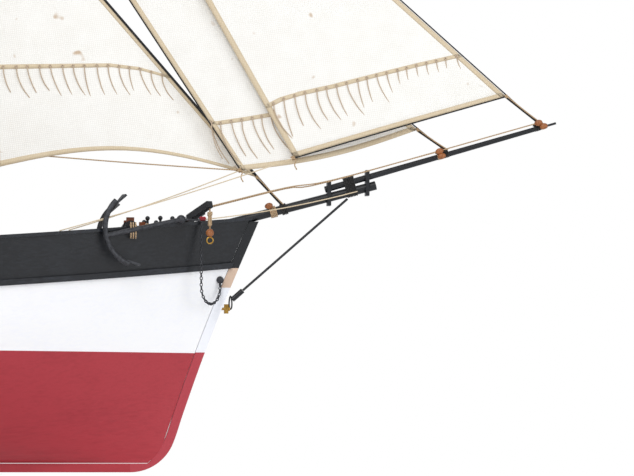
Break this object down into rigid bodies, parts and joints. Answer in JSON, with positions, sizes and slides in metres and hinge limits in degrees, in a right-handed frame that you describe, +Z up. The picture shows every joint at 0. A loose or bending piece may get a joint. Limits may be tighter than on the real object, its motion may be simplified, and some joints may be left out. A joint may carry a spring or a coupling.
{
  "type": "model sailing ship",
  "caption": "display model of a gaff schooner with black, white and red hull, cotton sails, full rigging and a wooden cradle stand",
  "frame": {"origin": "centre of the stand base underside, on the table", "axes": "+X towards the bow, +Y to port, +Z up"},
  "size_m": [1.1038, 0.2054, 0.7325],
  "materials": {
    "red_paint": "satin red bottom paint over wood",
    "white_paint": "satin white paint over wood",
    "black_paint": "satin black paint over wood",
    "deck_wood": "oiled planked deck",
    "varnished_wood": "varnished wood",
    "spar_wood": "oiled spar wood",
    "plain_wood": "bare wood inside the hull",
    "sail_cotton": "fine woven cotton",
    "tan_rope": "twisted cotton line",
    "black_rope": "tarred line",
    "black_iron": "blackened iron",
    "brass": "aged brass",
    "block_wood": "small varnished blocks",
    "felt": "green felt",
    "steel": "steel screws"
  },
  "bodies": {
    "stand": {"stand_base": "varnished_wood", "fore_crutch": "varnished_wood", "aft_crutch": "varnished_wood", "crutch_felts": "felt", "stand_screws": "steel"},
    "rudder": {"rudder": "red_paint"},
    "wheel": {"steering_wheel": "varnished_wood"},
    "windlass": {"windlass_drum": "black_paint"},
    "fore_boom_gear": {"fore_boom": "spar_wood", "fore_gaff": "spar_wood", "fore_sail": "sail_cotton", "fore_hoops_and_halyards": "tan_rope", "fore_sheet_tackle": "block_wood"},
    "main_boom_gear": {"main_boom": "spar_wood", "main_gaff": "spar_wood", "main_sail": "sail_cotton", "main_hoops_and_halyards": "tan_rope", "main_sheet_tackle": "block_wood"},
    "cat_block": {"cat_block": "block_wood"},
    "ship": {"anchor_chain": "black_iron", "anchors": "black_iron", "belaying_pins": "black_paint", "bobstay": "black_iron", "boom_irons": "black_iron", "bottom_planking": "red_paint", "bowsprit": "black_paint", "bulkheads": "plain_wood", "cap_rail": "black_paint", "catheads": "black_paint", "channels": "black_paint", "companion": "varnished_wood", "deadeyes_and_chain_plates": "black_iron", "deck": "deck_wood", "false_keel": "plain_wood", "flying_jib": "sail_cotton", "fore_mast": "spar_wood", "fore_staysail": "sail_cotton", "fore_topmast": "spar_wood", "hatches": "varnished_wood", "headsail_sheets_and_guys": "tan_rope", "inner_jib": "sail_cotton", "jib_boom": "black_paint", "keel": "red_paint", "main_mast": "spar_wood", "main_topmast": "spar_wood", "mast_caps": "black_paint", "pin_rails": "varnished_wood", "port_bulwark": "black_paint", "rubbing_strake": "black_paint", "rudder_gudgeons": "brass", "sheet_horses": "black_iron", "shrouds": "black_rope", "starboard_bulwark": "black_paint", "stays": "black_rope", "stem_post": "white_paint", "stern_post": "red_paint", "topside_planking": "white_paint", "transom": "black_paint", "wheel_box": "varnished_wood", "windlass_bitts": "varnished_wood"}
  },
  "joints": [
    {"name": "ship_lift", "type": "slide", "parent": "stand", "child": "ship", "axis": [0, 0, 1], "range_m": [0, 0.12]},
    {"name": "rudder_turn", "type": "hinge", "parent": "ship", "child": "rudder", "pos_m": [-0.3157, 0, 0.028], "axis": [0, 0, 1], "range_deg": [-35, 35]},
    {"name": "wheel_spin", "type": "hinge", "parent": "ship", "child": "wheel", "pos_m": [-0.322, 0, 0.17141], "axis": [1, 0, 0], "continuous": true},
    {"name": "windlass_turn", "type": "hinge", "parent": "ship", "child": "windlass", "pos_m": [0.347, 0, 0.18584], "axis": [0, 1, 0], "continuous": true},
    {"name": "fore_boom_swing", "type": "hinge", "parent": "ship", "child": "fore_boom_gear", "pos_m": [0.215, 0, 0.028], "axis": [-0.0436, 0, 0.999], "range_deg": [-12, 12]},
    {"name": "main_boom_swing", "type": "hinge", "parent": "ship", "child": "main_boom_gear", "pos_m": [-0.075, 0, 0.028], "axis": [-0.0436, 0, 0.999], "range_deg": [-12, 12]},
    {"name": "cat_block_swing", "type": "hinge", "parent": "ship", "child": "cat_block", "pos_m": [0.397, -0.03993, 0.19491], "axis": [0, 1, 0], "range_deg": [-25, 25]}
  ]
}
